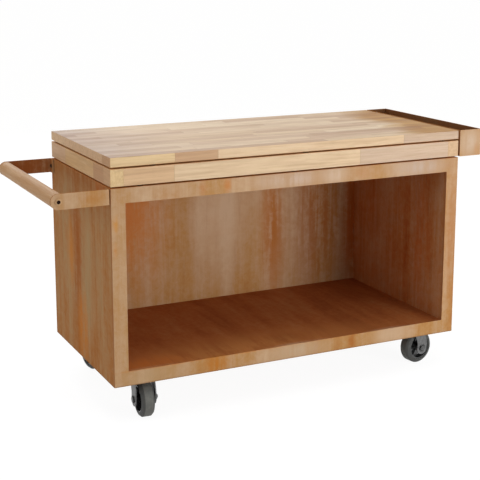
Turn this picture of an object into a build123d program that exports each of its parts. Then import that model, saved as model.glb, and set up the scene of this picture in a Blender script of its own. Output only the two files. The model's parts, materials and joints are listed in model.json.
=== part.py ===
"""Rolling outdoor prep table, in millimetres.

A folded weathering-steel cabinet with an open front carries a framed hardwood worktop.
A push handle with a wooden rod is bolted to its left side, a narrow steel trough for
herbs hangs level with the worktop on its right, and it stands on four swivel casters.

+X runs to the right along the front, +Y to the back and +Z up. The origin is on the
floor, under the middle of the whole table.
"""

import os
from math import sqrt

from build123d import *

# Cabinet
body_length = 1350.0
body_depth = 641.0
body_height = 667.0
sheet = 2.5
face_width = 50.0
bend_radius = 3.0
flange_bolt_gap = 0.9

# Hat channels under the cabinet floor that carry the casters
channel_plate_gap = 2.0
channel_shell_gap = 5.0
channel_lip = 14.0
channel_sheet = 3.0
channel_end_gap = 1.0

# Wooden frame and worktop
wood_inset = 1.4
frame_gap = 5.4
frame_height = 57.0
board_thickness = 45.0
board_edge = 0.8
batten_height = 45.0
batten_place_shares = (1 / 3, 2 / 3)
worktop_gap = 5.7
worktop_thickness = 32.0
worktop_edge = 2.0

# Fasteners of the wooden parts
spacer_radius = 11.0
frame_bolt_radius = 4.0
frame_bolt_head_radius = 8.0
frame_bolt_head_height = 4.5
frame_bolt_grip = 30.0
top_screw_radius = 3.0
top_screw_head_radius = 6.0
top_screw_head_height = 3.0
top_screw_recess = 22.0
top_screw_grip = 20.0
frame_bolt_end_inset = 110.0
screw_spacing = 45.0
hole_clearance = 0.5

# Push handle
arm_height = 51.0
arm_thickness = 5.0
arm_bend_radius = 7.0
rod_distance = 171.0
rod_radius = 25.0
rod_edge = 1.5
handle_gap = 1.5
handle_flange = 30.0
handle_bolt_inset = 17.0
handle_bolt_radius = 4.0
handle_head_radius = 7.5
handle_head_height = 5.0
handle_spacer_radius = 9.0
handle_nut_height = 6.5
rod_bolt_radius = 5.0
rod_bolt_depth = 45.0
rod_head_radius = 11.0
rod_head_height = 5.5
rod_socket_radius = 6.0
rod_socket_depth = 4.5
socket_radius = 3.0
socket_depth = 3.0
button_rim_share = 0.35

# Herb trough
trough_gap = 5.5
trough_width = 93.0
trough_lift = 3.0
trough_sheet = 2.0
trough_bend_radius = 3.0
drain_radius = 4.0
drain_place_shares = (0.1, 0.3, 0.5, 0.7, 0.9)
trough_screw_radius = 3.0
trough_head_radius = 6.5
trough_head_height = 3.5
trough_screw_grip = 32.0
trough_spacer_radius = 9.0
trough_screw_end_inset = 110.0

# Casters
caster_recess = 15.0
caster_inset_y = 101.0
trail = 38.0
crown_clearance = 16.0
wheel_radius = 62.5
tyre_width = 48.0
tread_width = 28.0
shoulder_drop = 5.5
shoulder_reach = 6.5
rim_radius = 46.0
rim_wall = 4.0
rim_width = 44.0
rim_flare = 4.0
web_thickness = 8.0
boss_radius = 16.0
wheel_bore_gap = 0.06
hub_end_gap = 0.5
rib_count = 6
rib_thickness = 3.0
rib_width = 24.0
sleeve_radius = 9.0
leg_gap = 66.0
leg_sheet = 4.0
leg_boss_edge = 6.0
leg_dish_gap = 2.0
leg_dish_flare = 2.0
leg_dish_depth = 2.5
leg_dish_wall = 3.0
crown_lead = 34.0
crown_follow = 42.0
crown_end_height = 12.0
leg_waist_height = 44.0
leg_waist_lead = 29.0
leg_waist_follow = 19.0
crown_bend_radius = 6.0
plate_length = 114.0
plate_width = 100.0
plate_thickness = 3.0
plate_corner = 8.0
skirt_ball_gap = 5.3
skirt_wall = 2.5
skirt_crown_gap = 1.0
ball_ring_radius = 22.0
ball_radius = 3.2
swivel_gap = 0.3
king_pin_radius = 6.0
king_pin_gap = 0.06
king_head_radius = 10.0
king_head_height = 5.0
king_rim_share = 0.6
axle_radius = 6.0
axle_tip = 3.0
axle_head_radius = 11.0
axle_head_height = 7.5
axle_nut_height = 10.0
plate_bolt_radius = 4.0
plate_bolt_head_radius = 7.0
plate_bolt_head_height = 5.3
plate_bolt_inset_x = 12.0
plate_bolt_inset_y = 11.0
plate_bolt_tip = 8.0

# Which way each wheel trails at rest, in degrees from +X
rest_angles = {
    "front_left": -93.5,
    "front_right": 8.0,
    "rear_left": 102.0,
    "rear_right": 68.0,
}

# One overrun lets every cut run clear of the faces that it opens
overrun = 10.0

# Sizes of the casters and channels worked out from the sizes above
dish_inner = leg_gap / 2 - leg_dish_depth
dish_outer = dish_inner + leg_sheet
leg_dish_radius = axle_head_radius + leg_dish_gap
leg_boss_radius = leg_dish_radius + leg_dish_flare + leg_dish_wall + leg_boss_edge
race_height = 2 * (ball_radius + swivel_gap)
skirt_radius = ball_ring_radius + ball_radius + skirt_ball_gap + skirt_wall
skirt_height = race_height - skirt_crown_gap
crown_top = 2 * wheel_radius + crown_clearance + leg_sheet
caster_height = crown_top + race_height + plate_thickness
channel_width = plate_length + 2 * channel_plate_gap
caster_inset_x = face_width + channel_shell_gap + channel_lip + channel_width / 2
flange_depth = wood_inset + board_thickness / 2 - frame_bolt_head_radius - flange_bolt_gap

# Places worked out from the sizes above
handle_reach = rod_distance + arm_height / 2
overall_length = handle_reach + body_length + trough_gap + trough_width
left = -overall_length / 2 + handle_reach
right = left + body_length
middle = (left + right) / 2
front = -body_depth / 2
back = body_depth / 2
base = caster_height - caster_recess
top = base + body_height
floor_top = base + face_width
frame_bottom = top + frame_gap
frame_top = frame_bottom + frame_height
worktop_bottom = frame_top + worktop_gap
worktop_top = worktop_bottom + worktop_thickness
wood_left = left + wood_inset
wood_right = right - wood_inset
wood_front = front + wood_inset
wood_back = back - wood_inset
trough_left = right + trough_gap
trough_right = trough_left + trough_width
trough_bottom = top + trough_lift
trough_screw_z = (frame_bottom + frame_top) / 2
arm_middle = top - arm_height / 2

# Rows of fasteners
frame_bolt_xs = (left + frame_bolt_end_inset, middle, right - frame_bolt_end_inset)
board_middle_ys = (wood_front + board_thickness / 2, wood_back - board_thickness / 2)
frame_bolt_places = [(x, y) for x in frame_bolt_xs for y in board_middle_ys]
top_screw_places = [(x + screw_spacing, y) for x in frame_bolt_xs for y in board_middle_ys]
handle_bolt_ys = (front + handle_bolt_inset, back - handle_bolt_inset)
trough_screw_ys = (front + trough_screw_end_inset, 0, back - trough_screw_end_inset)
caster_places = {
    "front_left": (left + caster_inset_x, front + caster_inset_y),
    "front_right": (right - caster_inset_x, front + caster_inset_y),
    "rear_left": (left + caster_inset_x, back - caster_inset_y),
    "rear_right": (right - caster_inset_x, back - caster_inset_y),
}

parts = {}


def block(x0, x1, y0, y1, z0, z1):
    """A box between two corners."""
    size = Box(x1 - x0, y1 - y0, z1 - z0)
    return Pos((x0 + x1) / 2, (y0 + y1) / 2, (z0 + z1) / 2) * size


def rod_x(radius, x0, x1, y, z):
    """A round bar along X."""
    bar = Cylinder(radius, abs(x1 - x0))
    return Pos((x0 + x1) / 2, y, z) * Rot(0, 90, 0) * bar


def rod_y(radius, x, y0, y1, z):
    """A round bar along Y."""
    bar = Cylinder(radius, abs(y1 - y0))
    return Pos(x, (y0 + y1) / 2, z) * Rot(90, 0, 0) * bar


def rod_z(radius, x, y, z0, z1):
    """A round bar along Z."""
    return Pos(x, y, (z0 + z1) / 2) * Cylinder(radius, abs(z1 - z0))


def tube_z(outer, inner, x, y, z0, z1):
    """A round spacer along Z."""
    return rod_z(outer, x, y, z0, z1) - rod_z(inner, x, y, z0 - overrun, z1 + overrun)


def tube_x(outer, inner, x0, x1, y, z):
    """A round spacer along X."""
    return rod_x(outer, x0, x1, y, z) - rod_x(inner, x0 - overrun, x1 + overrun, y, z)


def hexagon(radius, height):
    """A hexagonal head or nut standing on Z = 0."""
    return extrude(RegularPolygon(radius, 6), height)


def hex_nut(radius, bore, height):
    """A nut standing on Z = 0."""
    return hexagon(radius, height) - rod_z(bore, 0, 0, -overrun, height + overrun)


def button_head(radius, height, key_radius, key_depth):
    """A domed head standing on Z = 0, with a hexagon socket for a key in its top."""
    rim = height * button_rim_share
    crown = height - rim
    dome_radius = (radius**2 + crown**2) / (2 * crown)
    half_way = radius / 2
    shoulder = (half_way, height - dome_radius + sqrt(dome_radius**2 - half_way**2))
    edge = Line((0, 0), (radius, 0)) + Line((radius, 0), (radius, rim))
    dome = ThreePointArc((radius, rim), shoulder, (0, height))
    outline = make_face(edge + dome + Line((0, height), (0, 0)))
    head = revolve(Plane.XZ * outline, Axis.Z)
    return head - Pos(0, 0, height - key_depth) * hexagon(key_radius, key_depth + overrun)


def ring(profile):
    """Turn a closed profile of (radius, height) points about Z."""
    return revolve(Plane.XZ * make_face(Polyline(*profile, close=True)), Axis.Z)


def keep(name, *shapes):
    """Keep one solid, or several separate ones, as a named sub-part."""
    solids = [solid for shape in shapes for solid in shape.solids()]
    parts[name] = solids[0] if len(solids) == 1 else Compound(children=solids)
    parts[name].label = name


def folded_side():
    """A side of the cabinet: outer wall, front stile and inner wall in one folded sheet.

    It is made for the left, with its outer face on X = 0 and its front face on Y = 0.
    """
    depth = body_depth - sheet
    far = depth + overrun
    skin = block(0, face_width, 0, depth, 0, body_height)
    skin = fillet(skin.edges().filter_by(Axis.Z).group_by(Axis.Y)[0].sort_by(Axis.X)[:1], bend_radius)
    cavity = block(sheet, face_width - sheet, sheet, far, -overrun, body_height + overrun)
    seat = block(sheet, face_width + overrun, sheet, far, body_height - sheet, body_height + overrun)
    return skin - cavity - seat


def cabinet():
    """Folded sheets that make the open-fronted cabinet, with its deck and its floor."""
    side = folded_side()
    left_side = Pos(left, front, base) * side
    right_side = Pos(right, front, base) * mirror(side, Plane.YZ)
    hole_radius = handle_bolt_radius + hole_clearance
    for y in handle_bolt_ys:
        left_side -= rod_x(hole_radius, left - overrun, left + sheet + overrun, y, arm_middle)
    keep("left_side_shell", left_side)
    keep("right_side_shell", right_side)

    inner_left = left + face_width
    inner_right = right - face_width
    rail_bottom = top - face_width
    upper_flange = top - sheet
    rail = block(inner_left, inner_right, front, front + sheet, rail_bottom, top)
    rail += block(inner_left, inner_right, front, front + flange_depth, upper_flange - sheet, upper_flange)
    rail += block(inner_left, inner_right, front, front + flange_depth, rail_bottom, rail_bottom + sheet)
    keep("top_rail", rail)

    floor_under = floor_top - sheet
    rail = block(inner_left, inner_right, front, front + sheet, base, floor_top)
    rail += block(inner_left, inner_right, front, front + flange_depth, floor_under - sheet, floor_under)
    rail += block(inner_left, inner_right, front, front + flange_depth, base, base + sheet)
    keep("bottom_rail", rail)

    keep("floor_panel", block(inner_left, inner_right, front + sheet, back - sheet, floor_under, floor_top))

    wall = block(left, right, back - sheet, back, base, top)
    wall += block(inner_left, inner_right, back - flange_depth, back, upper_flange - sheet, upper_flange)
    wall += block(inner_left, inner_right, back - flange_depth, back, floor_under - sheet, floor_under)
    keep("back_panel", wall)

    deck = block(left + sheet, right - sheet, front + sheet, back - sheet, upper_flange, top)
    for x, y in frame_bolt_places:
        deck -= rod_z(frame_bolt_radius + hole_clearance, x, y, upper_flange - overrun, top + overrun)
    keep("top_deck", deck)


def caster_channels():
    """Two hat channels, front to back under the floor, that the casters are bolted to."""
    floor_under = floor_top - sheet
    y0 = front + flange_depth + channel_end_gap
    y1 = back - flange_depth - channel_end_gap
    half = channel_width / 2
    inner = half - channel_sheet
    lip = half + channel_lip
    web_top = caster_height + channel_sheet
    lip_bottom = floor_under - channel_sheet
    channels = []
    for side in ("left", "right"):
        x = caster_places["front_" + side][0]
        hat = block(x - half, x + half, y0, y1, caster_height, floor_under)
        hat -= block(x - inner, x + inner, y0 - overrun, y1 + overrun, web_top, floor_under + overrun)
        hat += block(x - lip, x - inner, y0, y1, lip_bottom, floor_under)
        hat += block(x + inner, x + lip, y0, y1, lip_bottom, floor_under)
        for row in ("front_", "rear_"):
            for hole_x, hole_y in plate_bolt_places(*caster_places[row + side]):
                hole_radius = plate_bolt_radius + hole_clearance
                hat -= rod_z(hole_radius, hole_x, hole_y, caster_height - overrun, web_top + overrun)
        channels.append(hat)
    keep("caster_channels", *channels)


def wooden_top():
    """The frame of boards, its battens and the glued worktop, with what fastens them."""
    inner_left = wood_left + board_thickness
    inner_right = wood_right - board_thickness
    boards = {
        "left_frame_board": block(wood_left, inner_left, wood_front, wood_back, frame_bottom, frame_top),
        "right_frame_board": block(inner_right, wood_right, wood_front, wood_back, frame_bottom, frame_top),
        "front_frame_board": block(
            inner_left, inner_right, wood_front, wood_front + board_thickness, frame_bottom, frame_top
        ),
        "rear_frame_board": block(
            inner_left, inner_right, wood_back - board_thickness, wood_back, frame_bottom, frame_top
        ),
    }
    boards = {name: fillet(board.edges(), board_edge) for name, board in boards.items()}
    worktop = block(wood_left, wood_right, wood_front, wood_back, worktop_bottom, worktop_top)
    worktop = fillet(worktop.edges(), worktop_edge)

    bolts = []
    spacers = []
    for x, y in frame_bolt_places:
        head_top = top - sheet
        head = hexagon(frame_bolt_head_radius, frame_bolt_head_height)
        bolt = rod_z(frame_bolt_radius, x, y, head_top, frame_bottom + frame_bolt_grip)
        bolt += Pos(x, y, head_top - frame_bolt_head_height) * head
        bolts.append(bolt)
        spacers.append(tube_z(spacer_radius, frame_bolt_radius, x, y, top, frame_bottom))
        hole = rod_z(frame_bolt_radius, x, y, frame_bottom - overrun, frame_bottom + frame_bolt_grip)
        name = "front_frame_board" if y < 0 else "rear_frame_board"
        boards[name] -= hole

    screws = []
    pads = []
    for x, y in top_screw_places:
        seat = frame_bottom + top_screw_recess
        tip = worktop_bottom + top_screw_grip
        screw = rod_z(top_screw_radius, x, y, seat, tip)
        screw += rod_z(top_screw_head_radius, x, y, seat - top_screw_head_height, seat)
        screws.append(screw)
        pads.append(tube_z(spacer_radius, top_screw_radius, x, y, frame_top, worktop_bottom))
        name = "front_frame_board" if y < 0 else "rear_frame_board"
        boards[name] -= rod_z(top_screw_radius, x, y, seat - overrun, frame_top + overrun)
        boards[name] -= rod_z(top_screw_head_radius + hole_clearance, x, y, frame_bottom - overrun, seat)
        worktop -= rod_z(top_screw_radius, x, y, worktop_bottom - overrun, tip)

    for y in trough_screw_ys:
        boards["right_frame_board"] -= rod_x(
            trough_screw_radius, wood_right - trough_screw_grip, wood_right + overrun, y, trough_screw_z
        )

    for name, board in boards.items():
        keep(name, board)
    battens = []
    for share in batten_place_shares:
        x = inner_left + (inner_right - inner_left) * share
        battens.append(
            block(x - board_thickness / 2, x + board_thickness / 2, wood_front + board_thickness,
                  wood_back - board_thickness, frame_top - batten_height, frame_top)
        )
    keep("frame_battens", *battens)
    keep("worktop", worktop)
    keep("frame_bolts", *bolts)
    keep("frame_spacers", *spacers)
    keep("worktop_screws", *screws)
    keep("worktop_spacers", *pads)


def handle():
    """Two flat steel arms and a wooden rod on the left side of the cabinet."""
    arm_right = left - handle_gap
    rod_x_place = left - rod_distance
    bar = block(rod_x_place, arm_right, 0, arm_thickness, top - arm_height, top)
    bar += rod_y(arm_height / 2, rod_x_place, 0, arm_thickness, arm_middle)
    bar += block(arm_right - arm_thickness, arm_right, 0, handle_flange, top - arm_height, top)
    bend = bar.edges().filter_by(Axis.Z).group_by(Axis.Y)[0].sort_by(Axis.X)[-1:]
    bar = fillet(bend, arm_bend_radius)
    flange_hole = handle_bolt_radius + hole_clearance
    flange_left = arm_right - arm_thickness
    bar -= rod_x(flange_hole, flange_left - overrun, arm_right + overrun, handle_bolt_inset, arm_middle)
    rod_hole = rod_bolt_radius + hole_clearance
    bar -= rod_y(rod_hole, rod_x_place, -overrun, arm_thickness + overrun, arm_middle)
    front_arm = Pos(0, front, 0) * bar
    keep("front_handle_arm", front_arm)
    keep("rear_handle_arm", mirror(front_arm, Plane.XZ))

    rod_front = front + arm_thickness
    rod_back = back - arm_thickness
    rod = rod_y(rod_radius, rod_x_place, rod_front, rod_back, arm_middle)
    rod = fillet(rod.edges().filter_by(GeomType.CIRCLE), rod_edge)
    rod -= rod_y(rod_bolt_radius, rod_x_place, rod_front - overrun, rod_front + rod_bolt_depth, arm_middle)
    rod -= rod_y(rod_bolt_radius, rod_x_place, rod_back - rod_bolt_depth, rod_back + overrun, arm_middle)
    keep("handle_rod", rod)

    head = Rot(90, 0, 0) * button_head(rod_head_radius, rod_head_height, rod_socket_radius, rod_socket_depth)
    front_bolt = Pos(rod_x_place, front, arm_middle) * head
    front_bolt += rod_y(rod_bolt_radius, rod_x_place, front, rod_front + rod_bolt_depth, arm_middle)
    keep("rod_bolts", front_bolt, mirror(front_bolt, Plane.XZ))

    bolts = []
    spacers = []
    nut_left = left + sheet
    tip = nut_left + handle_nut_height
    for y in handle_bolt_ys:
        head = button_head(handle_head_radius, handle_head_height, socket_radius, socket_depth)
        head = Rot(0, -90, 0) * head
        bolt = Pos(flange_left, y, arm_middle) * head
        bolt += rod_x(handle_bolt_radius, flange_left, tip, y, arm_middle)
        nut = Rot(0, 90, 0) * hex_nut(handle_head_radius, handle_bolt_radius, handle_nut_height)
        bolts += [bolt, Pos(nut_left, y, arm_middle) * nut]
        spacer = tube_x(handle_spacer_radius, handle_bolt_radius, arm_right, left, y, arm_middle)
        spacers.append(spacer)
    keep("handle_bolts", *bolts)
    keep("handle_spacers", *spacers)


def rounded_block(x0, x1, y0, y1, z0, z1, radius):
    """A box between two corners, with its two lower edges along Y rounded."""
    form = block(x0, x1, y0, y1, z0, z1)
    return fillet(form.edges().filter_by(Axis.Y).group_by(Axis.Z)[0], radius)


def herb_trough():
    """A narrow sheet steel trough, spaced off the end of the wooden frame.

    Its floor and long walls are one folded sheet, and a plate is welded on at each end.
    """
    wall = trough_sheet
    inner_left = trough_left + wall
    inner_right = trough_right - wall
    inner_bottom = trough_bottom + wall
    end_plate = rounded_block(
        trough_left, trough_right, front, front + wall, trough_bottom, worktop_top, trough_bend_radius
    )
    trough = rounded_block(
        trough_left, trough_right, front + wall, back - wall, trough_bottom, worktop_top, trough_bend_radius
    )
    trough -= rounded_block(
        inner_left, inner_right, front, back, inner_bottom, worktop_top + overrun, trough_bend_radius - wall
    )
    middle_x = (trough_left + trough_right) / 2
    for share in drain_place_shares:
        y = front + body_depth * share
        trough -= rod_z(drain_radius, middle_x, y, trough_bottom - overrun, inner_bottom + overrun)
    screws = []
    spacers = []
    hole_radius = trough_screw_radius + hole_clearance
    tip = wood_right - trough_screw_grip
    for y in trough_screw_ys:
        trough -= rod_x(hole_radius, trough_left - overrun, inner_left + overrun, y, trough_screw_z)
        head = button_head(trough_head_radius, trough_head_height, socket_radius, socket_depth)
        head = Rot(0, 90, 0) * head
        screw = Pos(inner_left, y, trough_screw_z) * head
        screw += rod_x(trough_screw_radius, tip, inner_left, y, trough_screw_z)
        screws.append(screw)
        spacer = tube_x(trough_spacer_radius, trough_screw_radius, wood_right, trough_left, y, trough_screw_z)
        spacers.append(spacer)
    keep("herb_trough", trough, end_plate, mirror(end_plate, Plane.XZ))
    keep("trough_screws", *screws)
    keep("trough_spacers", *spacers)


def plate_bolt_places(x, y):
    """The four bolt places of a caster's plate."""
    reach_x = plate_length / 2 - plate_bolt_inset_x
    reach_y = plate_width / 2 - plate_bolt_inset_y
    return [(x + sx * reach_x, y + sy * reach_y) for sx in (-1, 1) for sy in (-1, 1)]


def caster_plate():
    """The plate with its pressed skirt round the ball ring, in the caster's own frame."""
    plate_bottom = caster_height - plate_thickness
    half_length = plate_length / 2
    half_width = plate_width / 2
    plate = block(-half_length, half_length, -half_width, half_width, plate_bottom, caster_height)
    plate = fillet(plate.edges().filter_by(Axis.Z), plate_corner)
    skirt_bottom = plate_bottom - skirt_height
    plate += tube_z(skirt_radius, skirt_radius - skirt_wall, 0, 0, skirt_bottom, plate_bottom)
    hole_radius = plate_bolt_radius + hole_clearance
    for x, y in plate_bolt_places(0, 0):
        plate -= rod_z(hole_radius, x, y, plate_bottom - overrun, caster_height + overrun)
    return plate - rod_z(king_pin_radius, 0, 0, plate_bottom - overrun, caster_height + overrun)


def king_pin():
    """The pin that holds the fork up against its ball ring."""
    head_top = crown_top - leg_sheet - swivel_gap
    return ring([
        (0, caster_height),
        (king_pin_radius, caster_height),
        (king_pin_radius, head_top),
        (king_head_radius, head_top),
        (king_head_radius, head_top - king_head_height * king_rim_share),
        (king_pin_radius, head_top - king_head_height),
        (0, head_top - king_head_height),
    ])


def ball_ring():
    """The balls in their cage, as one ring with a rounded section."""
    centre = crown_top + swivel_gap + ball_radius
    section = Pos(ball_ring_radius, centre) * Circle(ball_radius)
    return revolve(Plane.XZ * section, Axis.Z)


def dish(radius, y):
    """A pressed cone round the axle on the side of +Y, from its floor at y to the leg's face."""
    cone = Cone(radius, radius + leg_dish_flare, leg_dish_depth)
    return Pos(trail, y + leg_dish_depth / 2, wheel_radius) * Rot(-90, 0, 0) * cone


def fork():
    """The fork: a crown whose two legs bend down beside the wheel, dished round the axle."""
    half_gap = leg_gap / 2
    outer = half_gap + leg_sheet
    lead = (trail - leg_boss_radius, wheel_radius)
    follow = (trail + leg_boss_radius, wheel_radius)
    waist = wheel_radius + leg_waist_height
    lead_waist = (trail - leg_waist_lead, waist)
    follow_waist = (trail + leg_waist_follow, waist)
    lead_top = (-crown_lead, crown_top)
    lead_corner = (-crown_lead, crown_top - crown_end_height)
    follow_top = (crown_follow, crown_top)
    follow_corner = (crown_follow, crown_top - crown_end_height)
    outline = Polyline(lead_corner, lead_top, follow_top, follow_corner)
    outline += ThreePointArc(follow_corner, follow_waist, follow)
    outline += ThreePointArc(follow, (trail, wheel_radius - leg_boss_radius), lead)
    outline += ThreePointArc(lead, lead_waist, lead_corner)
    side_face = Plane.XZ * make_face(outline)
    legs = extrude(side_face, outer, both=True)
    legs -= block(-plate_length, plate_length, -half_gap, half_gap, 0, crown_top - leg_sheet)
    legs = fillet(legs.edges().filter_by(Axis.X).group_by(Axis.Z)[-1], crown_bend_radius)
    boss = dish(leg_dish_radius + leg_dish_wall, dish_inner)
    hollow = dish(leg_dish_radius, dish_outer)
    legs += boss
    legs += mirror(boss, Plane.XZ)
    legs -= hollow
    legs -= mirror(hollow, Plane.XZ)
    legs -= rod_z(king_pin_radius + king_pin_gap, 0, 0, crown_top - leg_sheet - overrun, crown_top + overrun)
    return legs - rod_y(axle_radius, trail, -outer - overrun, outer + overrun, wheel_radius)


def axle_parts():
    """The axle bolt with its nut, and the sleeve that the legs clamp."""
    head = Rot(90, 0, 0) * hexagon(axle_head_radius, axle_head_height)
    bolt = Pos(trail, -dish_outer, wheel_radius) * head
    tip = dish_outer + axle_nut_height + axle_tip
    bolt += rod_y(axle_radius, trail, -dish_outer, tip, wheel_radius)
    nut = Rot(-90, 0, 0) * hex_nut(axle_head_radius, axle_radius, axle_nut_height)
    nut = Pos(trail, dish_outer, wheel_radius) * nut
    sleeve = rod_y(sleeve_radius, trail, -dish_inner, dish_inner, wheel_radius)
    sleeve -= rod_y(axle_radius, trail, -dish_outer, dish_outer, wheel_radius)
    return bolt, nut, sleeve


def wheel_hub():
    """The wheel's core: a long boss, a web with ribs set deep in the wheel, and a flared rim."""
    bore = sleeve_radius + wheel_bore_gap
    rim_inside = rim_radius - rim_wall
    rim_foot = rim_inside - rim_flare
    half_hub = dish_inner - hub_end_gap
    half_rim = rim_width / 2
    half_web = web_thickness / 2
    core = ring([
        (bore, -half_hub),
        (boss_radius, -half_hub),
        (boss_radius, -half_web),
        (rim_foot, -half_web),
        (rim_inside, -half_rim),
        (rim_radius, -half_rim),
        (rim_radius, half_rim),
        (rim_inside, half_rim),
        (rim_foot, half_web),
        (boss_radius, half_web),
        (boss_radius, half_hub),
        (bore, half_hub),
    ])
    half_rib = rib_thickness / 2
    half_reach = rib_width / 2
    for rib in range(rib_count):
        rib_root = boss_radius - half_rib
        rib_tip = rim_inside + half_rib
        spoke = block(rib_root, rib_tip, -half_rib, half_rib, -half_reach, half_reach)
        core += Rot(0, 0, rib * 360 / rib_count) * spoke
    return Pos(trail, 0, wheel_radius) * Rot(90, 0, 0) * core


def tyre():
    """The rubber tyre: a flat tread between bevelled shoulders, over sidewalls that lean in to the rim."""
    half_tread = tread_width / 2
    half_width = tyre_width / 2
    shoulder_radius = wheel_radius - shoulder_drop
    half_shoulder = half_tread + shoulder_reach
    shape = ring([
        (rim_radius, -half_width),
        (rim_radius, half_width),
        (shoulder_radius, half_shoulder),
        (wheel_radius, half_tread),
        (wheel_radius, -half_tread),
        (shoulder_radius, -half_shoulder),
    ])
    return Pos(trail, 0, wheel_radius) * Rot(90, 0, 0) * shape


def casters():
    """Four swivel casters, each turned to the angle at which it stands at rest."""
    bolt, nut, sleeve = axle_parts()
    plate_bottom = caster_height - plate_thickness
    web_top = caster_height + channel_sheet
    plate_bolts = []
    for name, (x, y) in caster_places.items():
        place = Pos(x, y, 0)
        turned = place * Rot(0, 0, rest_angles[name])
        keep("caster_plate_" + name, place * caster_plate())
        keep("king_pin_" + name, place * king_pin())
        keep("ball_ring_" + name, place * ball_ring())
        keep("fork_" + name, turned * fork())
        keep("axle_bolt_" + name, turned * bolt, turned * nut)
        keep("axle_sleeve_" + name, turned * sleeve)
        keep("wheel_hub_" + name, turned * wheel_hub())
        keep("tyre_" + name, turned * tyre())
        for bolt_x, bolt_y in plate_bolt_places(x, y):
            head = hexagon(plate_bolt_head_radius, plate_bolt_head_height)
            plate_bolt = rod_z(plate_bolt_radius, bolt_x, bolt_y, plate_bottom, web_top + plate_bolt_tip)
            plate_bolt += Pos(bolt_x, bolt_y, plate_bottom - plate_bolt_head_height) * head
            plate_nut = hex_nut(plate_bolt_head_radius, plate_bolt_radius, plate_bolt_head_height)
            plate_bolts += [plate_bolt, Pos(bolt_x, bolt_y, web_top) * plate_nut]
    keep("plate_bolts", *plate_bolts)


cabinet()
caster_channels()
wooden_top()
handle()
herb_trough()
casters()

os.makedirs("parts", exist_ok=True)
for name, shape in parts.items():
    export_step(shape, f"parts/{name}.step")
print(len(parts), "sub-parts")
whole = Compound(children=list(parts.values())).bounding_box()
print("size", whole.size, "from", whole.min, "to", whole.max)
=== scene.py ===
"""Looks of the rolling prep table: its finishes, the light on it and the camera.

Lengths are in metres, in the table's own frame: +X to the right along the open front,
+Y to the back and +Z up, with the origin on the floor under the middle.
"""

import json
import math

import bpy
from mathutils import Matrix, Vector


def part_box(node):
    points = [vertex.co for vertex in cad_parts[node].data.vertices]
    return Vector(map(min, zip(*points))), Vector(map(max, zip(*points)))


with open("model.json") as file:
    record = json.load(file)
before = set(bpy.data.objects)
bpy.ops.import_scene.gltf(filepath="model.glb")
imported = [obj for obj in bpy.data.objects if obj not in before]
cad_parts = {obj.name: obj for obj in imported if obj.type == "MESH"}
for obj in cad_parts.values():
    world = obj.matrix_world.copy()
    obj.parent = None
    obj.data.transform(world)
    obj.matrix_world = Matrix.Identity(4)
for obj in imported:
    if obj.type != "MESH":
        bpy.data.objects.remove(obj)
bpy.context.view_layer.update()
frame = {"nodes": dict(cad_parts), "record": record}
nodes = frame["nodes"]

# Places of the table that the finishes refer to
body_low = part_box("left_side_shell")[0]
right_low, body_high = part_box("right_side_shell")
left_face = body_low.x
front_face = body_low.y
back_face = body_high.y
base_height = body_low.z
deck_height = body_high.z
floor_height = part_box("floor_panel")[1].z
wood_low, wood_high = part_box("worktop")
trough_low, trough_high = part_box("herb_trough")
rod_low, rod_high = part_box("handle_rod")
rod_middle = (rod_low + rod_high) / 2

# A margin that leaves the outermost faces out of a box
skin = Vector((0.001, 0.001, 0.001))

# How far under its highest point a level face still counts as a top
top_margin = 0.004

# The range that most values of smooth noise lie in
noise_range = (0.30, 0.70)


def colour(code):
    """The linear colour of a web colour code."""
    values = [int(code[i:i + 2], 16) / 255 for i in (0, 2, 4)]
    linear = [v / 12.92 if v <= 0.04045 else ((v + 0.055) / 1.055) ** 2.4 for v in values]
    return (*linear, 1.0)


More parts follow.
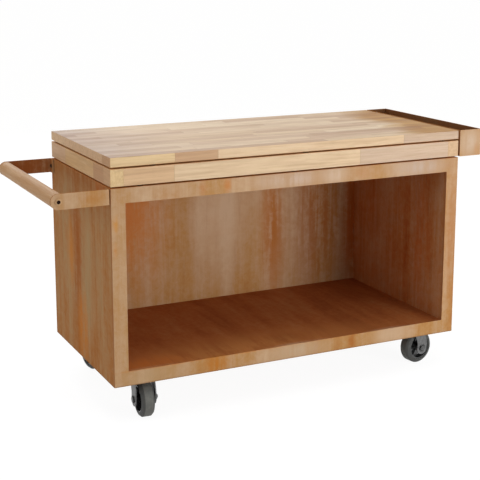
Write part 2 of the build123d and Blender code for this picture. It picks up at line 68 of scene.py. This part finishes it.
class Finish:
    """A material whose nodes are added one by one."""

    def __init__(self, name, metallic=0.0, specular=0.5):
        self.material = bpy.data.materials.new(name)
        self.material.use_nodes = True
        self.nodes = self.material.node_tree.nodes
        self.links = self.material.node_tree.links
        self.shader = self.nodes["Principled BSDF"]
        self.shader.inputs["Metallic"].default_value = metallic
        self.shader.inputs["Specular IOR Level"].default_value = specular
        coordinates = self.nodes.new("ShaderNodeTexCoord")
        self.place = coordinates.outputs["Object"]
        self.normal = coordinates.outputs["Normal"]

    def feed(self, socket, value):
        """Link a socket to another node's output, or set it to a plain value."""
        if isinstance(value, bpy.types.NodeSocket):
            self.links.new(value, socket)
        else:
            socket.default_value = value

    def math(self, operation, a, b=0.0, c=0.0, clamp=False):
        """One Math node."""
        node = self.nodes.new("ShaderNodeMath")
        node.operation = operation
        node.use_clamp = clamp
        for socket, value in zip(node.inputs, (a, b, c)):
            self.feed(socket, value)
        return node.outputs[0]

    def product(self, *factors):
        """The product of several values."""
        result = factors[0]
        for factor in factors[1:]:
            result = self.math("MULTIPLY", result, factor)
        return result

    def weighted(self, start, *parts):
        """A start value plus several values, each times its weight."""
        result = start
        for value, weight in parts:
            result = self.math("MULTIPLY_ADD", value, weight, result)
        return result

    def choose(self, chosen, otherwise, value):
        """A value where chosen is 1, and another where it is 0."""
        rest = self.math("SUBTRACT", 1.0, chosen)
        return self.math("ADD", self.product(otherwise, rest), self.product(value, chosen))

    def vector_math(self, operation, a, b=(0.0, 0.0, 0.0)):
        """One Vector Math node, with its vector and its plain value."""
        node = self.nodes.new("ShaderNodeVectorMath")
        node.operation = operation
        self.feed(node.inputs[0], a)
        self.feed(node.inputs[1], b)
        return node.outputs[0], node.outputs[1]

    def scaled(self, vector, factors):
        """A vector times another, axis by axis."""
        return self.vector_math("MULTIPLY", vector, factors)[0]

    def vector(self, x, y, z):
        """A vector from three values."""
        node = self.nodes.new("ShaderNodeCombineXYZ")
        for socket, value in zip(node.inputs, (x, y, z)):
            self.feed(socket, value)
        return node.outputs[0]

    def axes(self, vector):
        """The three values of a vector."""
        node = self.nodes.new("ShaderNodeSeparateXYZ")
        self.feed(node.inputs[0], vector)
        return node.outputs[0], node.outputs[1], node.outputs[2]

    def noise(self, vector, scale, detail, roughness=0.5, distortion=0.0):
        """Smooth noise from 0 to 1, with one scale or a scale for each axis."""
        if isinstance(scale, tuple):
            vector = self.scaled(vector, scale)
            scale = 1.0
        node = self.nodes.new("ShaderNodeTexNoise")
        self.feed(node.inputs["Vector"], vector)
        node.inputs["Scale"].default_value = scale
        node.inputs["Detail"].default_value = detail
        node.inputs["Roughness"].default_value = roughness
        node.inputs["Distortion"].default_value = distortion
        return node.outputs["Fac"]

    def chance(self, vector):
        """A random value from 0 to 1 for each whole-numbered place."""
        node = self.nodes.new("ShaderNodeTexWhiteNoise")
        self.feed(node.inputs["Vector"], vector)
        return node.outputs["Value"]

    def remap(self, value, low, high, to=(0.0, 1.0)):
        """A value stretched smoothly from one range to another and held at its ends."""
        node = self.nodes.new("ShaderNodeMapRange")
        node.interpolation_type = "SMOOTHSTEP"
        inputs = {"Value": value, "From Min": low, "From Max": high, "To Min": to[0], "To Max": to[1]}
        for key, number in inputs.items():
            self.feed(node.inputs[key], number)
        return node.outputs["Result"]

    def ramp(self, value, stops, stepped=False):
        """A colour for each value, from (place, colour code) stops."""
        node = self.nodes.new("ShaderNodeValToRGB")
        band = node.color_ramp
        band.interpolation = "CONSTANT" if stepped else "LINEAR"
        while len(band.elements) < len(stops):
            band.elements.new(1.0)
        for element, (at, code) in zip(band.elements, stops):
            element.position = at
            element.color = colour(code)
        self.feed(node.inputs[0], value)
        return node.outputs["Color"]

    def mix(self, share, a, b, kind="MIX"):
        """Two colours mixed by a share."""
        node = self.nodes.new("ShaderNodeMix")
        node.data_type = "RGBA"
        node.blend_type = kind
        self.feed(node.inputs[0], share)
        self.feed(node.inputs[6], a)
        self.feed(node.inputs[7], b)
        return node.outputs[2]

    def tint(self, tone, code, share, kind="MIX"):
        """A tone that takes on a share of a colour code."""
        return self.mix(share, tone, colour(code), kind)

    def spot(self, centre, reach):
        """1 at a place, falling smoothly to 0 over its reach along each axis."""
        offset = self.vector_math("SUBTRACT", self.place, centre)[0]
        offset = self.scaled(offset, [1 / value for value in reach])
        return self.remap(self.vector_math("LENGTH", offset)[1], 1.0, 0.0)

    def within(self, low, high):
        """1 inside a box between two corners, and 0 outside."""
        offset = self.vector_math("SUBTRACT", self.place, (low + high) / 2)[0]
        offset = self.scaled(offset, [2 / value for value in high - low])
        x, y, z = self.axes(self.vector_math("ABSOLUTE", offset)[0])
        return self.math("LESS_THAN", self.math("MAXIMUM", self.math("MAXIMUM", x, y), z), 1.0)

    def facing(self, axis, side):
        """1 on faces that look along an axis, to its plus or minus side, and 0 elsewhere."""
        value = self.axes(self.normal)["xyz".index(axis)]
        return self.math("GREATER_THAN", self.product(value, side), 0.5)

    def level(self):
        """1 on faces that look up or down, and 0 elsewhere."""
        return self.math("MAXIMUM", self.facing("z", 1), self.facing("z", -1))

    def bump(self, height, depth, strength):
        """Relief of that depth in metres."""
        node = self.nodes.new("ShaderNodeBump")
        node.inputs["Distance"].default_value = depth
        node.inputs["Strength"].default_value = strength
        self.feed(node.inputs["Height"], height)
        self.links.new(node.outputs["Normal"], self.shader.inputs["Normal"])

    def finish(self, base, roughness):
        """Set the colour and the roughness, and give the material."""
        self.feed(self.shader.inputs["Base Color"], base)
        self.feed(self.shader.inputs["Roughness"], roughness)
        return self.material


# Colours of the steel on its four kinds of faces, from the least to the most rust
wall_rust = [(0.15, "a68a60"), (0.38, "aa7e52"), (0.60, "a76e3c"), (0.85, "965423")]
inner_rust = [(0.15, "bd9c7c"), (0.38, "bb8a63"), (0.60, "b57444"), (0.85, "a85824")]
front_rust = [(0.15, "c7a98a"), (0.45, "ba9570"), (0.65, "b28553"), (0.90, "a86c38")]
floor_rust = [(0.15, "ab7145"), (0.50, "9e5d32"), (0.85, "824524")]

# Faces that carry stains: the number of the axis that they look along, their place on it,
# and how deep a stain reaches
left_wall = (0, left_face, 0.020)
right_inside = (0, right_low.x, 0.040)
front = (1, front_face, 0.030)
back_inside = (1, back_face, 0.002)
rear_arm = (1, back_face, 0.030)
storage_floor = (2, floor_height, 0.006)
floor_and_rail = (2, floor_height, 0.030)

# Stretches that are rustier, or greyer where the strength is below 0, two of them partly
# painted shade: the face, the middle and the reach along its two other axes, and the strength
rust_and_shade_streaks = [
    (left_wall, (-0.080, 0.480), (0.080, 0.400), -0.28),
    (left_wall, (-0.250, 0.400), (0.050, 0.340), 0.14),
    (back_inside, (0.060, 0.550), (0.220, 0.500), -0.30),
    (back_inside, (0.220, 0.660), (0.045, 0.260), -0.20),
    # Partly rust and partly painted shade at the right end of the back, where the right side keeps the
    # light out
    (back_inside, (0.560, 0.500), (0.180, 0.450), 0.20),
    (back_inside, (-0.360, 0.550), (0.260, 0.450), 0.16),
    # Partly rust and partly painted shade on the inner face of the right side
    (right_inside, (-0.100, 0.470), (0.300, 0.400), 0.20),
    (floor_and_rail, (0.045, -0.250), (0.130, 0.080), 0.26),
    (front, (0.281, 0.165), (0.022, 0.050), 0.30),
    (front, (0.700, 0.260), (0.060, 0.260), 0.22),
]

# Stains of one colour, four of them partly painted shade: the face, middle and reach as above, the share
# and the colour code
stains_and_painted_shade = [
    (left_wall, (0.045, 0.520), (0.095, 0.440), 0.85, "995523"),
    (left_wall, (0.113, 0.500), (0.060, 0.180), 0.80, "be7832"),
    (left_wall, (-0.005, 0.260), (0.080, 0.200), 1.00, "c47628"),
    (left_wall, (0.000, 0.812), (0.500, 0.080), 0.90, "94592b"),
    (left_wall, (-0.225, 0.780), (0.120, 0.090), 1.00, "a85f28"),
    (back_inside, (-0.330, 0.600), (0.240, 0.500), 0.75, "c97a42"),
    (back_inside, (0.290, 0.460), (0.085, 0.500), 0.90, "ae672a"),
    # The next two are partly rust and partly painted shade at the right end of the back
    (back_inside, (0.500, 0.500), (0.200, 0.550), 0.70, "a45c2c"),
    (back_inside, (0.665, 0.470), (0.070, 0.600), 1.00, "a0521f"),
    (storage_floor, (-0.150, -0.300), (0.800, 0.240), 0.80, "bd8049"),
    (storage_floor, (-0.480, -0.280), (0.200, 0.100), 0.80, "ba6c33"),
    # The next two are partly rust and partly painted shade on the inner face of the right side
    (right_inside, (-0.170, 0.470), (0.100, 0.400), 0.65, "ba622a"),
    (right_inside, (0.150, 0.470), (0.160, 0.450), 0.30, "a45c2e"),
    (front, (-0.613, 0.690), (0.016, 0.050), 0.85, "c98b42"),
    (front, (-0.614, 0.605), (0.012, 0.040), 0.60, "c08040"),
    (front, (-0.305, 0.782), (0.024, 0.035), 0.60, "b87440"),
    (front, (-0.214, 0.786), (0.022, 0.040), 0.80, "c07c42"),
    (front, (-0.430, 0.770), (0.080, 0.030), 0.35, "b07848"),
    (front, (-0.253, 0.166), (0.080, 0.060), 1.00, "b57331"),
    (front, (-0.500, 0.165), (0.170, 0.060), 0.70, "b39570"),
    (front, (-0.680, 0.784), (0.060, 0.040), 0.30, "b8743a"),
    (rear_arm, (-0.715, 0.782), (0.200, 0.120), 1.00, "97552a"),
    (rear_arm, (-0.715, 0.782), (0.200, 0.120), 0.70, "97552a"),
    (front, (0.030, 0.784), (0.210, 0.060), 0.90, "c8b09d"),
    (front, (0.205, 0.784), (0.080, 0.060), 0.80, "ccb39c"),
    (front, (0.560, 0.784), (0.190, 0.060), 0.90, "c0aa99"),
    (front, (0.320, 0.784), (0.070, 0.060), 0.45, "b98860"),
    (front, (0.775, 0.860), (0.080, 0.090), 0.90, "c7af98"),
    (front, (0.700, 0.480), (0.060, 0.420), 0.62, "ac6f42"),
    (front, (0.805, 0.835), (0.018, 0.035), 0.55, "bb8558"),
    (front, (0.060, 0.165), (0.180, 0.060), 0.75, "bfa78c"),
    (front, (0.440, 0.165), (0.130, 0.060), 0.75, "c4a688"),
]


def on_face(face, middle, reach):
    """The centre and the reach, along X, Y and Z, of a spot on one of the faces."""
    axis, place, depth = face
    centre = (*middle[:axis], place, *middle[axis:])
    spread = (*reach[:axis], depth, *reach[axis:])
    return centre, spread


def rust_pattern(steel, level):
    """How rusty each place is, with some painted shade, how ragged its stains are, and its threads and
    fibres.
    """
    x, y, z = steel.axes(steel.place)

    # Streaks run down the walls, and from front to back on level faces
    stretch_down = 0.06
    stretch_back = 0.15
    along_z = steel.math("MULTIPLY_ADD", level, 1.0 - stretch_down, stretch_down)
    along_y = steel.math("MULTIPLY_ADD", level, stretch_back - 1.0, 1.0)
    drawn = steel.vector(x, steel.product(y, along_y), steel.product(z, along_z))
    broad = steel.noise(drawn, scale=9.0, detail=2.0, roughness=0.45)
    streak = steel.noise(drawn, scale=34.0, detail=5.0, roughness=0.62, distortion=0.3)
    thread = steel.noise(drawn, scale=75.0, detail=4.0, roughness=0.62)
    fibre = steel.noise(drawn, scale=190.0, detail=3.0, roughness=0.6)
    mottle = steel.noise(steel.place, scale=42.0, detail=5.0, roughness=0.66, distortion=0.5)
    cloud = steel.noise(steel.place, scale=4.5, detail=2.0)
    broad, streak, mottle, cloud = [
        steel.remap(value, *noise_range) for value in (broad, streak, mottle, cloud)]

    # The steel is darker and browner towards the foot of the cabinet
    foot_height = 0.25
    foot = steel.remap(z, base_height + foot_height, base_height)
    rust_and_shade = steel.weighted(
        0.08,
        (broad, 0.22),
        (streak, 0.16),
        (fibre, 0.14),
        (mottle, 0.14),
        (cloud, 0.14),
        (foot, 0.06),
    )
    ragged = steel.weighted(0.45, (streak, 0.6), (mottle, 0.25))
    for face, middle, reach, strength in rust_and_shade_streaks:
        spot = steel.product(steel.spot(*on_face(face, middle, reach)), ragged)
        rust_and_shade = steel.weighted(rust_and_shade, (spot, strength))
    return rust_and_shade, ragged, thread, fibre


def weathering_steel():
    """Steel with an even beige-brown patina and rust-orange streaks that ran down it, with painted shade
    at the right end of its inside and painted warm light in the shadow gap under the wood.
    """
    steel = Finish("weathering_steel", specular=0.04)
    x, y, z = steel.axes(steel.place)
    level = steel.level()
    inside = steel.within(body_low + skin, body_high - skin)
    outer_front = steel.math("SUBTRACT", steel.facing("y", -1), inside, clamp=True)
    rust_and_shade, ragged, thread, fibre = rust_pattern(steel, level)

    tone = steel.mix(outer_front, steel.ramp(rust_and_shade, wall_rust), steel.ramp(rust_and_shade, front_rust))
    tone = steel.mix(inside, tone, steel.ramp(rust_and_shade, inner_rust))
    tone = steel.mix(steel.product(level, inside), tone, steel.ramp(rust_and_shade, floor_rust))

    # Dark and pale threads on the upright faces, fewer on the front
    upright = steel.math("SUBTRACT", 1.0, steel.weighted(level, (outer_front, 0.7)), clamp=True)
    dark_thread = steel.remap(thread, 0.52, 0.74, to=(0.0, 0.30))
    pale_thread = steel.remap(thread, 0.46, 0.28, to=(0.0, 0.18))
    tone = steel.tint(tone, "784a26", steel.product(dark_thread, upright))
    tone = steel.tint(tone, "bd9a72", steel.product(pale_thread, upright))

    cloudy = steel.remap(ragged, 0.50, 1.10, to=(0.30, 1.0))
    for face, middle, reach, share, code in stains_and_painted_shade:
        spot = steel.product(steel.spot(*on_face(face, middle, reach)), cloudy)
        tone = steel.tint(tone, code, steel.product(spot, share))

    # Older rust on the lower rim of each sheet and on the left edge beside the front, from
    # where it starts to where it is full
    rim_start = base_height + 0.005
    rim_full = base_height + 0.001
    edge_start = front_face + 0.014
    edge_full = front_face + 0.004
    rim = steel.remap(z, rim_start, rim_full)
    tone = steel.tint(tone, "6e4a2e", steel.product(rim, 0.45))
    edge = steel.product(steel.facing("x", -1), steel.remap(y, edge_start, edge_full))
    tone = steel.tint(tone, "9a6238", steel.product(edge, 0.55))

    # Faces inside the trough are darker
    trough_inside = steel.within(trough_low + skin, trough_high - skin)
    tone = steel.tint(tone, "6b4024", steel.product(trough_inside, 0.75))
    # The deck's top in the shadow gap under the wood is painted orange-brown: painted warm light that
    # stands in for the light bounced around the gap
    on_top = steel.math("GREATER_THAN", z, deck_height - top_margin)
    shadow_gap_faces = steel.product(level, on_top, steel.math("GREATER_THAN", x, left_face))
    tone = steel.tint(tone, "cf8748", steel.product(shadow_gap_faces, 0.8))

    speckle = steel.noise(steel.place, scale=450.0, detail=3.0, roughness=0.7)
    tone = steel.tint(tone, "6d4526", steel.remap(speckle, 0.56, 0.75, to=(0.0, 0.22)))
    steel.bump(steel.weighted(speckle, (fibre, 0.4)), depth=0.00025, strength=0.35)
    return steel.finish(tone, steel.remap(rust_and_shade, 0.1, 0.8, to=(0.58, 0.78)))


# Tints of the staves, by chance
board_tones = [(0.00, "c3a07a"), (0.25, "cead86"), (0.50, "d9bb93"), (0.75, "cfad88"), (1.00, "dfc29a")]
worktop_tones = [
    (0.00, "c7a68b"),
    (0.20, "d9bc9f"),
    (0.40, "e7cfb1"),
    (0.60, "d2b396"),
    (0.80, "e1c7a6"),
    (1.00, "edd7ba"),
]
rod_tones = [(0.00, "ae8050"), (1.00, "b68958")]

# Edges whose staves end where the photograph shows them: the axis and side that the edge
# looks to, the places of its joints, and the tints between them
worktop_edges = [
    ("y", -1, (-0.402, -0.248, 0.484), ("e0c294", "c6a07c", "ddc09c", "c2a78f")),
    ("x", -1, (-0.245, 0.167), ("be9269", "d1ab83", "d9b58c")),
]
front_board_edges = [
    ("y", -1, (-0.405, 0.302), ("d6b28a", "dbbf9b", "ccb299")),
]
left_board_edges = [
    ("y", -1, (), ("dcbd8c",)),
    ("x", -1, (-0.253, -0.153, 0.153), ("c99f74", "c09268", "cfa775", "caa37d")),
]

stave_count = 15
stave_width = (wood_high.y - wood_low.y) / stave_count


def end_zones(wood, tone, level):
    """The worktop's tone, turned ochre beside the trough and pinkish at its other end. The ochre is
    partly the staves' own tint and partly painted shade and warm reflected colour of the plants in the
    trough.
    """
    x, y, _ = wood.axes(wood.place)

    # Noise moves both zones by 0 to 0.30 to the left, and the ochre one slants a little
    patch = wood.noise(wood.place, scale=(4.0, 9.0, 9.0), detail=3.0)
    place = wood.weighted(x, (patch, 0.30))
    slanted = wood.weighted(place, (y, -0.08))
    ochre_start = wood_high.x - 0.06
    ochre_full = wood_high.x + 0.09
    pink_start = wood_low.x + 0.55
    # Partly the staves' own tint, partly painted shade of the plants in the trough
    ochre = wood.remap(slanted, ochre_start, ochre_full, to=(0.0, 0.95))
    tone = wood.tint(tone, "cea754", wood.product(ochre, level), "MULTIPLY")
    pink = wood.remap(place, pink_start, wood_low.x)
    return wood.tint(tone, "c6c0cb", wood.product(pink, level), "MULTIPLY")


def grain(wood, tone, place):
    """The tone with soft bands, fibres and short dark pores along X of a place, and its fibres."""
    ground = wood.noise(place, scale=(5.0, 26.0, 26.0), detail=2.0, distortion=0.8)
    band = wood.noise(place, scale=(4.0, 90.0, 90.0), detail=3.0, roughness=0.55, distortion=0.5)
    fibre = wood.noise(place, scale=(14.0, 320.0, 320.0), detail=3.0, roughness=0.6)
    pore = wood.noise(place, scale=(45.0, 900.0, 900.0), detail=2.0)

    # For each noise: where its tint starts and is full, the most share, and the colour code
    for value, start, full, share, code in (
        (ground, 0.40, 0.72, 0.25, "b08c66"),
        (band, 0.42, 0.72, 0.30, "a58060"),
        (band, 0.48, 0.25, 0.22, "e6d0ae"),
        (fibre, 0.50, 0.78, 0.22, "94714d"),
        (pore, 0.64, 0.76, 0.28, "83603f"),
    ):
        tone = wood.tint(tone, code, wood.remap(value, start, full, to=(0.0, share)))
    return tone, fibre


def hardwood(name, along, seed, tones=board_tones, width=0.0, edges=()):
    """Oiled hardwood staves, glued side by side where a width is given.

    The grain runs along "x" or "y". Each stave has its own random length and tint, apart
    from the staves of the edges, which have chosen ones.
    """
    wood = Finish(name, specular=0.16)
    x, y, z = wood.axes(wood.place)
    level = wood.level()
    run, side = (x, y) if along == "x" else (y, x)

    # Distances from a joint where its line starts and is full
    side_joint = (0.0008, 0.0001)
    end_joint = (0.0010, 0.0003)
    row = seed
    side_line = 0.0
    if width:
        across = wood.math("DIVIDE", wood.math("SUBTRACT", side, wood_low.y), width)
        row = wood.math("MULTIPLY_ADD", wood.math("FLOOR", across), level, seed)
        side_gap = wood.product(wood.math("PINGPONG", across, 0.5), width)
        side_line = wood.product(wood.remap(side_gap, *side_joint), level)

    # Each row has its own length of stave, and starts at its own place well left of the table
    shortest = 0.26
    longest = 0.56
    length_draw = wood.chance(wood.vector(row, 3.0, 0.0))
    start_draw = wood.chance(wood.vector(row, 7.0, 0.0))
    pitch = wood.math("MULTIPLY_ADD", length_draw, longest - shortest, shortest)
    start = wood.math("MULTIPLY_ADD", start_draw, 4.0, 20.0)
    along_row = wood.math("DIVIDE", wood.math("ADD", run, start), pitch)
    luck = wood.chance(wood.vector(row, wood.math("FLOOR", along_row), seed))
    tone = wood.ramp(luck, tones)
    end_gap = wood.product(wood.math("PINGPONG", along_row, 0.5), pitch)

    for axis, direction, joints, tints in edges:
        chosen = wood.facing(axis, direction)
        edge_run = y if axis == "x" else x
        count = 0.0
        nearest = 1.0
        for joint in joints:
            count = wood.math("ADD", count, wood.math("GREATER_THAN", edge_run, joint))
            gap = wood.math("ABSOLUTE", wood.math("SUBTRACT", edge_run, joint))
            nearest = wood.math("MINIMUM", nearest, gap)
        share = wood.math("DIVIDE", wood.math("ADD", count, 0.5), len(tints))
        stops = [(index / len(tints), tint) for index, tint in enumerate(tints)]
        tone = wood.mix(chosen, tone, wood.ramp(share, stops, stepped=True))
        luck = wood.choose(chosen, luck, share)
        end_gap = wood.choose(chosen, end_gap, nearest)
        run = wood.choose(chosen, run, edge_run)

    if width:
        tone = end_zones(wood, tone, level)

    # The grain is shifted from stave to stave
    shift = wood.product(luck, 40.0)
    grain_place = wood.vector(run, wood.math("ADD", side, shift), wood.math("ADD", z, shift))
    tone, fibre = grain(wood, tone, grain_place)

    # A fine line at each glue joint, and painted warm light on the level faces in the shadow gaps,
    # standing in for the light bounced around them
    end_line = wood.product(wood.remap(end_gap, *end_joint), 0.35)
    line = wood.math("MAXIMUM", end_line, wood.product(side_line, 0.18))
    tone = wood.tint(tone, "7a5636", line)
    open_top = wood.math("GREATER_THAN", z, wood_high.z - top_margin)
    hidden = wood.math("SUBTRACT", 1.0, open_top)
    shadow_gap_faces = wood.product(level, hidden, wood.math("GREATER_THAN", x, left_face))
    tone = wood.tint(tone, "e6ac68", wood.product(shadow_gap_faces, 0.7))

    wood.bump(wood.weighted(0.0, (fibre, 0.5), (line, -2.0)), depth=0.0002, strength=0.4)
    return wood.finish(tone, wood.remap(fibre, *noise_range, to=(0.45, 0.58)))


def dark_fastener():
    """Oxidised steel of the bolts and screws."""
    metal = Finish("fasteners", metallic=0.4, specular=0.2)
    grain_noise = metal.noise(metal.place, scale=900.0, detail=3.0)
    tone = metal.ramp(grain_noise, [(0.3, "2a1f17"), (0.6, "453629"), (0.8, "5a493a")])
    metal.bump(grain_noise, depth=0.0001, strength=0.3)
    return metal.finish(tone, metal.remap(grain_noise, *noise_range, to=(0.35, 0.55)))


def rod_bolt_steel():
    """Patina on the heads of the rod's bolts, with painted shade in their sockets."""
    socket_start = 0.0066
    socket_full = 0.0058
    metal = Finish("rod_bolt_patina", specular=0.05)
    offset = metal.vector_math("SUBTRACT", metal.place, rod_middle)[0]
    offset = metal.scaled(offset, (1.0, 0.0, 1.0))
    from_axis = metal.vector_math("LENGTH", offset)[1]
    grain_noise = metal.noise(metal.place, scale=500.0, detail=3.0)
    tone = metal.ramp(grain_noise, [(0.3, "b08a62"), (0.7, "c2a07a")])
    # Painted shade: the socket in the middle of each head is near black
    tone = metal.tint(tone, "2c1a12", metal.remap(from_axis, socket_start, socket_full))
    metal.bump(grain_noise, depth=0.0001, strength=0.3)
    return metal.finish(tone, metal.remap(grain_noise, *noise_range, to=(0.4, 0.6)))


def caster_steel(name, tones):
    """Zinc-plated pressed steel with a faint spangle of three tones."""
    metal = Finish(name, metallic=0.35)
    spangle = metal.noise(metal.place, scale=160.0, detail=3.0, roughness=0.6)
    grain_noise = metal.noise(metal.place, scale=1400.0, detail=2.0)
    tone = metal.ramp(spangle, list(zip((0.3, 0.5, 0.7), tones)))
    metal.bump(grain_noise, depth=0.00008, strength=0.3)
    return metal.finish(tone, metal.remap(spangle, *noise_range, to=(0.36, 0.50)))


def wheel_nylon():
    """Glossy black moulded nylon of the wheel centres."""
    nylon = Finish("wheel_core", specular=1.0)
    grain_noise = nylon.noise(nylon.place, scale=700.0, detail=2.0)
    tone = nylon.ramp(grain_noise, [(0.3, "1c1c1c"), (0.7, "282828")])
    nylon.bump(grain_noise, depth=0.00008, strength=0.3)
    return nylon.finish(tone, nylon.remap(grain_noise, *noise_range, to=(0.10, 0.16)))


def tyre_rubber(name, axle):
    """Grey non-marking rubber, lighter on the tread and darker on the sidewalls."""
    rubber = Finish(name, specular=0.3)
    dust = rubber.noise(rubber.place, scale=60.0, detail=4.0, roughness=0.6)
    grain_noise = rubber.noise(rubber.place, scale=1200.0, detail=2.0)
    tread = rubber.ramp(dust, [(0.3, "5a5a57"), (0.55, "656560"), (0.75, "70706a")])
    wall = rubber.ramp(dust, [(0.3, "3f3f3e"), (0.55, "494947"), (0.75, "545452")])
    outward = rubber.math("ABSOLUTE", rubber.vector_math("DOT_PRODUCT", rubber.normal, axle)[1])
    tone = rubber.mix(rubber.remap(outward, 0.35, 0.75), tread, wall)
    rubber.bump(grain_noise, depth=0.0001, strength=0.4)
    return rubber.finish(tone, rubber.remap(dust, *noise_range, to=(0.55, 0.72)))


def paint(name, material):
    """Give a node one material."""
    node = nodes[name]
    for slot in node.material_slots:
        slot.material = material
    if not node.material_slots:
        node.data.materials.append(material)


# The metal and nylon pieces take the finish of their slot
slot_finishes = {
    "weathering_steel": weathering_steel(),
    "fasteners": dark_fastener(),
    "caster_steel": caster_steel("caster_steel", ("565656", "646464", "727272")),
    "wheel_core": wheel_nylon(),
}
for part in frame["record"]["subparts"]:
    if part["material_slot"] in slot_finishes:
        paint(part["node"], slot_finishes[part["material_slot"]])
paint("rod_bolts", rod_bolt_steel())

# Each wooden piece has its own wood, apart from the hidden battens
side_wood = hardwood("side_board_wood", "y", seed=53.0)
wood_finishes = {
    "worktop": hardwood("worktop_staves", "x", 2.0, worktop_tones, stave_width, worktop_edges),
    "front_frame_board": hardwood("front_board_wood", "x", 23.0, edges=front_board_edges),
    "rear_frame_board": hardwood("rear_board_wood", "x", 31.0),
    "left_frame_board": hardwood("left_board_wood", "y", 47.0, edges=left_board_edges),
    "right_frame_board": side_wood,
    "frame_battens": side_wood,
    "handle_rod": hardwood("rod_wood", "y", 59.0, rod_tones),
}
for name, material in wood_finishes.items():
    paint(name, material)

# Each tyre has its own rubber, because its sidewalls look along its own axle
axle_bolt_steel = caster_steel("axle_bolt_steel", ("424242", "4c4c4c", "5c5c5c"))
for joint in frame["record"]["behaviour"]["joints"]:
    if joint["name"].startswith("roll_"):
        caster = joint["name"].removeprefix("roll_")
        paint("tyre_" + caster, tyre_rubber("tyre_" + caster, joint["axis"]))
        paint("axle_bolt_" + caster, axle_bolt_steel)


def shader_node(tree, kind, **values):
    """A shader node with some of its inputs set by their names."""
    node = tree.nodes.new(kind)
    for key, value in values.items():
        node.inputs[key].default_value = value
    return node


def seen_ray(tree):
    """1 for rays that show the surroundings: camera, glossy and transmission rays."""
    path = tree.nodes.new("ShaderNodeLightPath")
    seen = path.outputs["Is Camera Ray"]
    for kind in ("Is Glossy Ray", "Is Transmission Ray"):
        either = tree.nodes.new("ShaderNodeMath")
        either.operation = "MAXIMUM"
        tree.links.new(seen, either.inputs[0])
        tree.links.new(path.outputs[kind], either.inputs[1])
        seen = either.outputs[0]
    return seen


def use_shaders(tree, lighting, seen, output_kind):
    """Light the table with one shader, and show another where the surroundings are seen."""
    choice = tree.nodes.new("ShaderNodeMixShader")
    tree.links.new(seen_ray(tree), choice.inputs[0])
    tree.links.new(lighting.outputs[0], choice.inputs[1])
    tree.links.new(seen.outputs[0], choice.inputs[2])
    output = tree.nodes.new(output_kind)
    tree.links.new(choice.outputs[0], output.inputs["Surface"])


def stage_floor():
    """A pale floor that keeps the table's shadow and looks white to the camera."""
    half = 60.0
    height = -0.0005
    mesh = bpy.data.meshes.new("stage_floor")
    corners = [(-half, -half, height), (half, -half, height), (half, half, height), (-half, half, height)]
    mesh.from_pydata(corners, [], [(0, 1, 2, 3)])
    floor = bpy.data.objects.new("stage_floor", mesh)
    bpy.context.scene.collection.objects.link(floor)
    material = bpy.data.materials.new("stage_floor")
    material.use_nodes = True
    tree = material.node_tree
    tree.nodes.clear()
    lit = shader_node(tree, "ShaderNodeBsdfDiffuse", Color=(0.8, 0.8, 0.8, 1.0))
    shadowed = shader_node(tree, "ShaderNodeBsdfDiffuse", Color=(0.14, 0.14, 0.14, 1.0))
    glow = shader_node(tree, "ShaderNodeEmission", Strength=0.93)
    pale = tree.nodes.new("ShaderNodeAddShader")
    tree.links.new(shadowed.outputs[0], pale.inputs[0])
    tree.links.new(glow.outputs[0], pale.inputs[1])
    use_shaders(tree, lit, pale, "ShaderNodeOutputMaterial")
    mesh.materials.append(material)


def studio_world():
    """White surroundings, with a dimmer even light from them."""
    world = bpy.data.worlds.new("studio")
    world.use_nodes = True
    tree = world.node_tree
    tree.nodes.clear()
    even = shader_node(tree, "ShaderNodeBackground", Color=(1.0, 0.985, 0.965, 1.0), Strength=0.46)
    white = shader_node(tree, "ShaderNodeBackground", Color=(1.0, 1.0, 1.0, 1.0), Strength=1.0)
    use_shaders(tree, even, white, "ShaderNodeOutputWorld")
    bpy.context.scene.world = world


def soft_lamp(name, turn, rise, distance, size, level):
    """A square lamp aimed at the table's middle.

    Turn is its angle to the right of the front, rise its angle over the floor, and level the
    light it gives there, where 1 shows a matt colour as it is written.
    """
    aim = Vector((0.0, 0.0, 0.5))
    turn = math.radians(turn)
    rise = math.radians(rise)
    away = Vector((math.sin(turn) * math.cos(rise), -math.cos(turn) * math.cos(rise), math.sin(rise)))
    data = bpy.data.lights.new(name, "AREA")
    data.size = size
    data.energy = level * math.pi**2 * distance**2
    lamp = bpy.data.objects.new(name, data)
    lamp.location = aim + away * distance
    lamp.rotation_euler = away.to_track_quat("Z", "Y").to_euler()
    bpy.context.scene.collection.objects.link(lamp)


def photo_camera():
    """A camera at the photograph's viewing angle, with a small downward shift."""
    tilt_down = 11.15
    turn_right = 25.89
    data = bpy.data.cameras.new("camera")
    data.sensor_width = 36.0
    data.lens = 85.12
    data.shift_y = -0.12
    camera = bpy.data.objects.new("camera", data)
    camera.location = (-1.795, -3.671, 1.524)
    camera.rotation_euler = (math.radians(90 - tilt_down), 0.0, math.radians(-turn_right))
    bpy.context.scene.collection.objects.link(camera)
    bpy.context.scene.camera = camera


stage_floor()
studio_world()
soft_lamp("key", turn=27.0, rise=3.0, distance=4.0, size=1.8, level=0.52)
soft_lamp("overhead", turn=-10.0, rise=75.0, distance=4.0, size=3.0, level=0.24)
soft_lamp("left_fill", turn=-95.0, rise=15.0, distance=4.0, size=2.4, level=0.12)
soft_lamp("rear_fill", turn=180.0, rise=35.0, distance=5.0, size=3.0, level=0.25)
photo_camera()
bpy.context.scene.view_settings.view_transform = "Standard"
